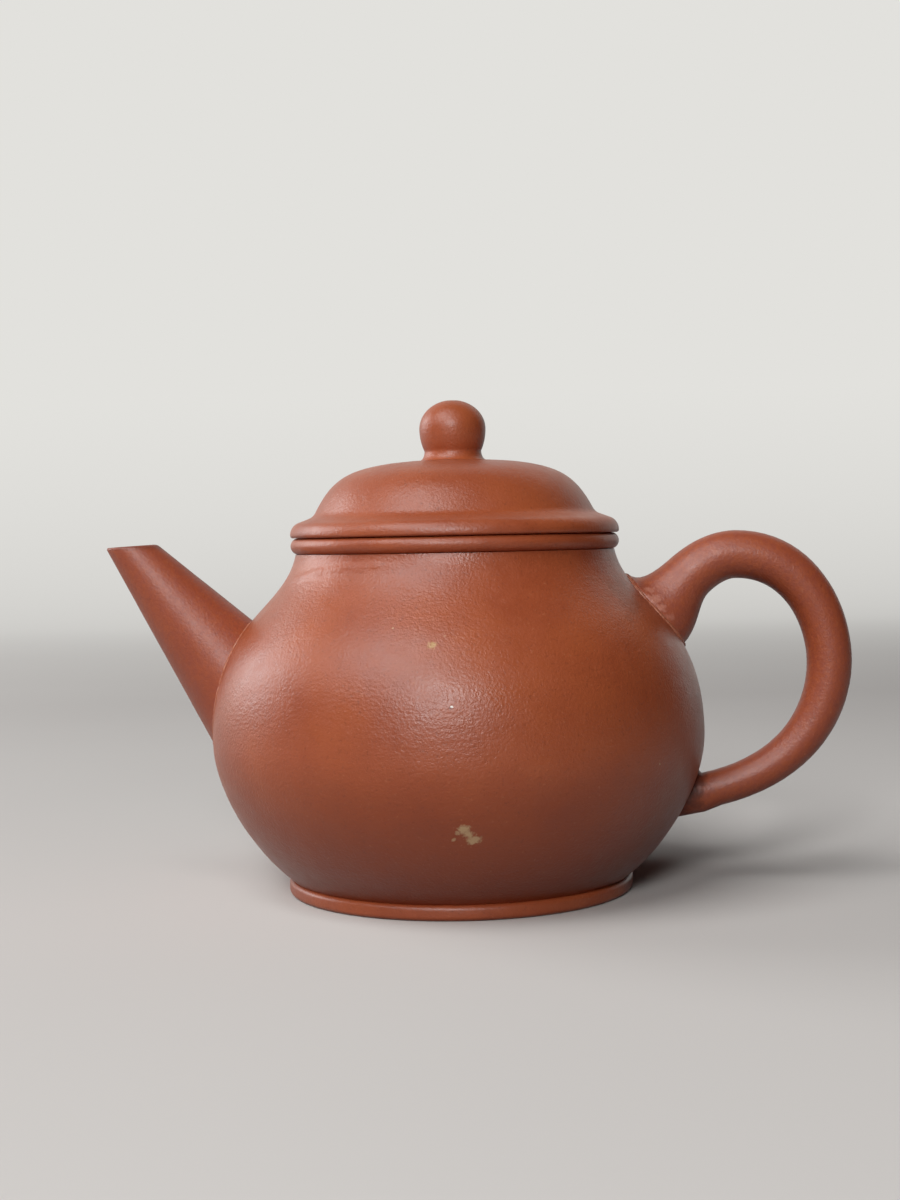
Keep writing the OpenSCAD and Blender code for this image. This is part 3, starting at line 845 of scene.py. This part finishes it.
class Recipe:
    """A node tree being mixed."""

    def __init__(self, name):
        self.material = bpy.data.materials.new(name)
        self.material.use_nodes = True
        self.tree = self.material.node_tree
        self.tree.nodes.clear()

    def add(self, kind, inputs=(), **settings):
        """A node with its settings, and its inputs by name, each a value or a socket."""
        node = self.tree.nodes.new("ShaderNode" + kind)
        for key, value in settings.items():
            setattr(node, key, value)
        for key, value in dict(inputs).items():
            if isinstance(value, bpy.types.NodeSocket):
                self.tree.links.new(value, node.inputs[key])
            else:
                node.inputs[key].default_value = value
        return node

    def millimetres(self, stretch=(1, 1, 1), shift=0.0):
        """Object coordinates in millimetres, stretched and then moved aside by a shift."""
        place = self.add("TexCoord").outputs["Object"]
        return self.add("Mapping", {"Vector": place, "Location": (shift, shift * 0.7, -shift),
                                    "Scale": tuple(1000 * s for s in stretch)}).outputs["Vector"]

    def noise(self, vector, scale, detail=2.0, roughness=0.5):
        """Soft noise with about as many swells to a millimetre as its scale says."""
        return self.add("TexNoise", {"Vector": vector, "Scale": scale, "Detail": detail,
                                     "Roughness": roughness}).outputs["Fac"]

    def spread(self, value, low, high, to_low=0.0, to_high=1.0):
        """A value taken from one range to another and kept inside it."""
        return self.add("MapRange", {"Value": value, "From Min": low, "From Max": high,
                                     "To Min": to_low, "To Max": to_high}).outputs["Result"]

    def sum_of(self, first, second, share):
        """The first value plus a share of the second."""
        return self.add("Math", {0: second, 1: share, 2: first},
                        operation="MULTIPLY_ADD").outputs[0]

    def blend(self, share, under, over):
        """One colour over another, by a share of 0 to 1."""
        node = self.add("Mix", {"Factor": share}, data_type="RGBA")
        for socket, value in ((node.inputs[6], under), (node.inputs[7], over)):
            if isinstance(value, bpy.types.NodeSocket):
                self.tree.links.new(value, socket)
            else:
                socket.default_value = value
        return node.outputs[2]


# %% [markdown]
# ## The clay
# Fired red clay is not painted: its colour comes from iron, and it changes a little from
# place to place. The finish mixes three close reds by soft noise, adds fine dark and light
# grains, and lets the gloss change as well, because hands and tea polish it unevenly. A
# bump carries what is too fine for the mesh: grains of half a millimetre. Some pieces also
# have painted shade that darkens them towards the foot, or a dark line of tea stain and
# painted shade at a height, a wash of another colour or a few spots. Painting them on an
# image would work too, but noise needs no unwrapping.

# %% Colours of the clay
CLAY_RED = srgb(161, 77, 42)
CLAY_ORANGE = srgb(170, 86, 47)
CLAY_BROWN = srgb(146, 67, 37)
# painted shade: the colour the lower body darkens to towards the foot
CLAY_PAINTED_SHADE = srgb(136, 54, 16)
CLAY_DUSK = srgb(142, 66, 47)
GRAIN_DARK = srgb(108, 48, 28)
GRAIN_LIGHT = srgb(194, 128, 92)
SLIP_PALE = srgb(192, 130, 104)
TAN = srgb(190, 152, 92)
OFF_WHITE = srgb(206, 176, 132)
# a white dot
WHITE_DOT = srgb(240, 232, 220)
# dark brown, for a small spot and for lines of tea stain with painted shade
DARK_BROWN = srgb(92, 42, 26)
# painted shade on the body's neck and shoulder by the handle
SHADE_BY_HANDLE = srgb(104, 58, 32)
ROOT_PALE = srgb(196, 132, 112)
# painted shadow of the belly on the handle's lower root
ROOT_SHADOW = srgb(88, 36, 18)
CLAY_IOR = 1.58
print("Clay red, linear:", [round(v, 3) for v in CLAY_RED[:3]])


# %% Spots and stains
MARK_PUSH = 1.6
MARK_FLAT = (1, 1, 1.3)
MARK_GONE, MARK_FULL = 0.75, 0.35
STAIN_AND_SHADE_FULL, STAIN_AND_SHADE_GONE, STAIN_AND_SHADE_SHARE = 0.3, 0.9, 0.6


def add_mark(clay, under, mm, place, size, tint, strength):
    """A ragged spot round a place (mm), wider than it is high, laid over a colour."""
    ragged = clay.add("TexNoise", {"Vector": mm, "Scale": min(0.9, 1.6 / size), "Detail": 3.0,
                                   "Roughness": 0.7})
    push = size * MARK_PUSH
    pushed = clay.add("VectorMath", {0: ragged.outputs["Color"], 1: (push, push, push), 2: mm},
                      operation="MULTIPLY_ADD")
    centre = tuple(p + push / 2 for p in place)
    from_centre = clay.add("VectorMath", {0: pushed.outputs[0], 1: centre},
                           operation="SUBTRACT")
    flattened = clay.add("VectorMath", {0: from_centre.outputs[0], 1: MARK_FLAT},
                         operation="MULTIPLY")
    away = clay.add("VectorMath", {0: flattened.outputs[0]}, operation="LENGTH")
    share = clay.spread(away.outputs["Value"], size * MARK_GONE, size * MARK_FULL, 0.0, strength)
    return clay.blend(share, under, tint)


def add_stain_and_shade(clay, under, height, stain_and_shade_at):
    """A dark line of tea stain and painted shade round a height (mm), laid over a colour."""
    above = clay.add("Math", {0: height, 1: stain_and_shade_at}, operation="SUBTRACT").outputs[0]
    away = clay.add("Math", {0: above}, operation="ABSOLUTE").outputs[0]
    share = clay.spread(away, STAIN_AND_SHADE_FULL, STAIN_AND_SHADE_GONE, STAIN_AND_SHADE_SHARE, 0.0)
    return clay.blend(share, under, DARK_BROWN)


# %% The fired clay
SWELL, CLOUD, WASHED, GRAIN, PEEL = 0.07, 0.35, 1.2, 1.9, 2.3  # noise, swells to a millimetre
SHADE_FROM, SHADE_SHARE = 6, 0.8
GLOSS_CHANGE = 0.05
PULLED_SHARE, GRAIN_SHARE = 0.5, 0.4


def fired_clay(name, shift=0.0, roughness=0.42, bump=0.06, drag=(0.6, 0.6, 1.8), marks=(),
               shade_up_to=0.0, stain_and_shade_at=0.0, wash=None):
    """The red clay, with its own noise for each piece. It can have marks at places, painted
    shade that darkens it towards the foot up to a height (mm), a dark line of tea stain and
    painted shade round a height, and a wash of another colour."""
    clay = Recipe(name)
    place_mm = clay.millimetres()
    height = clay.add("SeparateXYZ", {0: place_mm}).outputs["Z"]
    mm = clay.millimetres(shift=shift)
    swell = clay.noise(mm, SWELL, 3.0)
    cloud = clay.noise(mm, CLOUD, 3.0, 0.6)
    colour = clay.blend(clay.spread(swell, 0.35, 0.65), CLAY_BROWN, CLAY_ORANGE)
    colour = clay.blend(clay.spread(cloud, 0.3, 0.7, 0.25, 0.75), colour, CLAY_RED)
    # painted shade: darker towards the foot, fading out at a height
    if shade_up_to:
        colour = clay.blend(clay.spread(height, SHADE_FROM, shade_up_to, SHADE_SHARE, 0.0), colour,
                            CLAY_PAINTED_SHADE)
    # a dark line of tea stain and painted shade round a height
    if stain_and_shade_at:
        colour = add_stain_and_shade(clay, colour, height, stain_and_shade_at)
    if wash:
        ragged = clay.noise(mm, WASHED, 3.0, 0.6)
        colour = clay.blend(clay.spread(ragged, 0.35, 0.65, 0.1, 0.7), colour, wash)
    grains = clay.noise(mm, GRAIN, 2.0, 0.6)
    colour = clay.blend(clay.spread(grains, 0.64, 0.78, 0.0, 0.3), colour, GRAIN_LIGHT)
    colour = clay.blend(clay.spread(grains, 0.40, 0.26, 0.0, 0.4), colour, GRAIN_DARK)
    for place, size, tint, strength in marks:
        colour = add_mark(clay, colour, place_mm, place, size, tint, strength)
    gloss = clay.spread(cloud, 0.25, 0.75, roughness - GLOSS_CHANGE, roughness + GLOSS_CHANGE)
    pulled = clay.noise(clay.millimetres(drag, shift + 3), 1.0, 2.0)
    peel = clay.noise(mm, PEEL, 2.0, 0.6)
    rough = clay.sum_of(clay.sum_of(peel, pulled, PULLED_SHARE), grains, GRAIN_SHARE)
    normal = clay.add("Bump", {"Height": rough, "Distance": bump * MM, "Strength": 1.0})
    shader = clay.add("BsdfPrincipled", {"Base Color": colour, "Roughness": gloss,
                                         "Normal": normal.outputs["Normal"]})
    shader.inputs["IOR"].default_value = CLAY_IOR
    clay.add("OutputMaterial", {"Surface": shader.outputs["BSDF"]})
    return clay.material


# %% [markdown]
# ## A clay for each piece
# All pieces are the same clay, but each was worked in its own way, so each has its own gloss,
# bump and noise. The body has a tan speck with a small gap in it, a pale patch near the
# foot, a white dot on the edge of a dark spot, a few small spots and painted shade by the
# handle. The handle has pale strokes at its upper root and a painted shadow of the belly at
# its lower one.

# %% Marks and clays
body_marks = [  # place, size (mm), colour, strength
    ((-2.5, -36.2, 43.0), 1.25, TAN, 0.8),
    ((-2.35, -36.4, 42.3), 0.55, CLAY_RED, 1.0),
    ((1.7, -38.6, 15.95), 1.3, OFF_WHITE, 0.85),
    ((2.35, -38.15, 15.1), 1.4, OFF_WHITE, 0.85),
    ((3.1, -37.6, 14.1), 1.7, OFF_WHITE, 0.85),
    ((0.7, -38.3, 15.3), 0.7, OFF_WHITE, 0.6),
    ((0.2, -37.7, 14.2), 0.6, OFF_WHITE, 0.7),
    # a dark spot with a white dot on its edge
    ((0.25, -40.25, 33.95), 0.5, DARK_BROWN, 0.6),
    ((0.39, -40.21, 34.15), 0.38, WHITE_DOT, 1.0),
    ((-8.45, -33.27, 45.5), 0.3, OFF_WHITE, 0.5),
    ((31.68, -25.94, 23.46), 0.3, OFF_WHITE, 0.7),
    ((-0.6, -35.33, 44.27), 0.3, OFF_WHITE, 0.35),
    # painted shade by the handle
    ((27.5, -15.0, 49.0), 9.0, SHADE_BY_HANDLE, 0.35),
]
handle_marks = [
    ((32.0, -4.6, 49.5), 1.5, ROOT_PALE, 0.5),
    ((32.8, -5.35, 48.0), 1.6, ROOT_PALE, 0.55),
    ((33.8, -5.6, 46.5), 1.6, ROOT_PALE, 0.55),
    ((35.3, -5.5, 45.0), 1.3, ROOT_PALE, 0.4),
    # painted shadow of the belly on the handle's lower root
    ((40.0, -0.8, 18.9), 2.4, ROOT_SHADOW, 0.5),
    ((39.6, -2.2, 17.4), 2.6, ROOT_SHADOW, 0.55),
    ((39.2, -2.9, 15.8), 3.0, ROOT_SHADOW, 0.6),
    ((38.9, -2.8, 14.0), 3.2, ROOT_SHADOW, 0.6),
]
# The body gets painted shade that darkens it towards the foot, fading out at 27 mm.
body_clay = fired_clay("body_clay", roughness=0.385, bump=0.075, marks=body_marks, shade_up_to=27)
ring_clay = fired_clay("ring_clay", shift=5.0)
# The spout's dark line at the lip is tea stain and painted shade of its inside edge.
spout_clay = fired_clay("spout_clay", shift=11.0, roughness=0.48, drag=(0.5, 0.5, 0.5),
                        stain_and_shade_at=SPOUT_TIP.y, wash=CLAY_DUSK)
handle_clay = fired_clay("handle_clay", shift=17.0, roughness=0.45, drag=(0.6, 0.6, 0.6),
                         marks=handle_marks, wash=CLAY_DUSK)
lid_clay = fired_clay("lid_clay", shift=23.0, roughness=0.4, bump=0.07, drag=(0.6, 0.6, 0.9))
knob_clay = fired_clay("knob_clay", shift=31.0, drag=(0.6, 0.6, 0.9))
strainer_clay = fired_clay("strainer_clay", shift=41.0, roughness=0.6, drag=(1, 1, 1))
slip_clay = fired_clay("slip_clay", shift=37.0, roughness=0.5, drag=(1, 1, 1), wash=SLIP_PALE)
# The lower root's slip is stained, and darkened with painted shadow of the belly.
stained_shaded_slip_clay = fired_clay("stained_shaded_slip_clay", shift=37.0, roughness=0.5, drag=(1, 1, 1),
                               wash=DARK_BROWN)
print("Clays:", len(bpy.data.materials))

# %% [markdown]
# ## Dress the frame
# Every new piece rides on the body that carries it, stands for the CAD nodes whose place it
# takes, and gets its clay. The pierced strainer is right as the CAD has it, so it stays and
# only gets its clay.

# %% Ride, replace and paint
def dress(piece, body_name, clay, *nodes):
    """Gives a piece its clay and its body, and the CAD nodes whose place it takes."""
    piece.data.materials.clear()
    piece.data.materials.append(clay)
    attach(piece, body_name)
    if nodes:
        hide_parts(*nodes)


dress(body, "pot", body_clay, "base_disc", "body_wall", "shoulder_disc", "neck_ring")
dress(foot, "pot", ring_clay, "foot_ring")
dress(mouth, "pot", ring_clay, "mouth_ring")
dress(spout, "pot", spout_clay, "spout")
dress(handle, "pot", handle_clay, "handle")
dress(spout_slip, "pot", slip_clay)
dress(upper_slip, "pot", slip_clay)
dress(lower_slip, "pot", stained_shaded_slip_clay)
dress(lid, "lid", lid_clay, "lid_collar", "lid_rim", "lid_disc")
dress(knob, "lid", knob_clay, "knob_seat", "knob")
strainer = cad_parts["strainer"]
strainer.data.materials.clear()
strainer.data.materials.append(strainer_clay)

# %% [markdown]
# ## Floor and backdrop
# The pot stands on a plain pale floor that bends up into a plain pale wall. The bend is made
# by bevelling the fold of an extruded plane. The floor is pale to the camera and in
# reflections, but throws back less light than it shows, as a soft cloth would.

# %% Floor
FLOOR_PALE = srgb(210, 204, 199)
FLOOR_BOUNCE = srgb(84, 48, 44)
WALL_PALE = srgb(226, 225, 221)
WALL_FROM, WALL_FULL = 0.35, 1.15
FLOOR_SIZE, FLOOR_MIDDLE = 3, -0.3
WALL_HIGH, WALL_BEND = 2, 0.35
FLOOR_BACK = (FLOOR_MIDDLE + FLOOR_SIZE / 2) / MM


def pale_finish(name):
    """Pale to the camera and to reflections, and darker to the light it throws back.
    Towards the wall it turns into an evenly lit screen."""
    finish = Recipe(name)
    cloth = finish.noise(finish.millimetres(), 0.004, 2.0)
    shown = finish.blend(finish.spread(cloth, 0.3, 0.7, 0.0, 0.05), FLOOR_PALE, FLOOR_BOUNCE)
    rays = finish.add("LightPath").outputs
    seen = finish.add("Math", {0: rays["Is Camera Ray"], 1: rays["Is Glossy Ray"]},
                      operation="MAXIMUM").outputs[0]
    seen = finish.add("Math", {0: seen, 1: rays["Is Transmission Ray"]},
                      operation="MAXIMUM").outputs[0]
    floor_shader = finish.add("BsdfDiffuse",
                              {"Color": finish.blend(seen, FLOOR_BOUNCE, shown)})
    screen = finish.add("Emission", {"Color": WALL_PALE})
    place = finish.add("SeparateXYZ", {0: finish.add("TexCoord").outputs["Object"]})
    far = finish.spread(place.outputs["Y"], WALL_FROM, WALL_FULL)
    share = finish.add("Math", {0: far, 1: seen}, operation="MULTIPLY").outputs[0]
    mixed = finish.add("MixShader", {0: share, 1: floor_shader.outputs[0],
                                     2: screen.outputs[0]})
    finish.add("OutputMaterial", {"Surface": mixed.outputs[0]})
    return finish.material


def make_floor():
    """A plane whose back edge is pulled up into a wall, with the fold bevelled round."""
    start_clean()
    bpy.ops.mesh.primitive_plane_add(size=FLOOR_SIZE, location=(0, FLOOR_MIDDLE, 0))
    floor = name_piece("floor")
    bpy.ops.object.transform_apply(location=True, rotation=True, scale=True)
    bpy.ops.object.mode_set(mode="EDIT")
    select_edges(floor, lambda a, b: min(a.y, b.y) > FLOOR_BACK - 1)
    bpy.ops.mesh.extrude_region_move(TRANSFORM_OT_translate={"value": (0, 0, WALL_HIGH)})
    select_edges(floor, lambda a, b: min(a.y, b.y) > FLOOR_BACK - 1 and max(a.z, b.z) < 1)
    bpy.ops.mesh.bevel(offset=WALL_BEND, segments=16, affect="EDGES")
    bpy.ops.object.mode_set(mode="OBJECT")
    smooth(floor, 60)
    floor.data.materials.append(pale_finish("pale_floor"))
    return floor


floor = make_floor()
print("Floor:", len(floor.data.polygons), "faces")

# %% [markdown]
# ## Light
# A large soft lamp above on the left is the main light. A small one nearly in front gives
# the round highlight in the middle of the belly, and a window far on the left gives the
# sheen on that side. The world adds a little even light. All lamps are a daylight white.

# %% Lamps
LAMP_DISTANCE = 1.2
LAMP_AIM = Vector((0, 0, 0.04))
DAYLIGHT = (0.95, 0.98, 1)
WORLD_COLOUR, WORLD_STRENGTH = srgb(235, 238, 240), 0.03


def add_lamp(name, azimuth, elevation, size, watts):
    """A square lamp that points at the pot, by its angles from the front and from level."""
    data = bpy.data.lights.new(name, "AREA")
    data.shape, data.size, data.energy, data.color = "SQUARE", size, watts, DAYLIGHT
    lamp = bpy.data.objects.new(name, data)
    bpy.context.scene.collection.objects.link(lamp)
    a, e = math.radians(azimuth), math.radians(elevation)
    way = Vector((math.sin(a) * math.cos(e), -math.cos(a) * math.cos(e), math.sin(e)))
    lamp.location = LAMP_AIM + way * LAMP_DISTANCE
    lamp.rotation_euler = way.to_track_quat("Z", "Y").to_euler()
    return lamp


lamps = [add_lamp("key_lamp", -42, 52, size=0.9, watts=11),
         add_lamp("front_lamp", -6, 24, size=0.28, watts=7.2),
         add_lamp("window", -112, 20, size=0.65, watts=7)]
world = bpy.data.worlds.new("even_light")
world.use_nodes = True
world.node_tree.nodes["Background"].inputs["Color"].default_value = WORLD_COLOUR
world.node_tree.nodes["Background"].inputs["Strength"].default_value = WORLD_STRENGTH
bpy.context.scene.world = world
bpy.context.scene.view_settings.view_transform = "Standard"
print("Lamps:", [lamp.name for lamp in lamps])
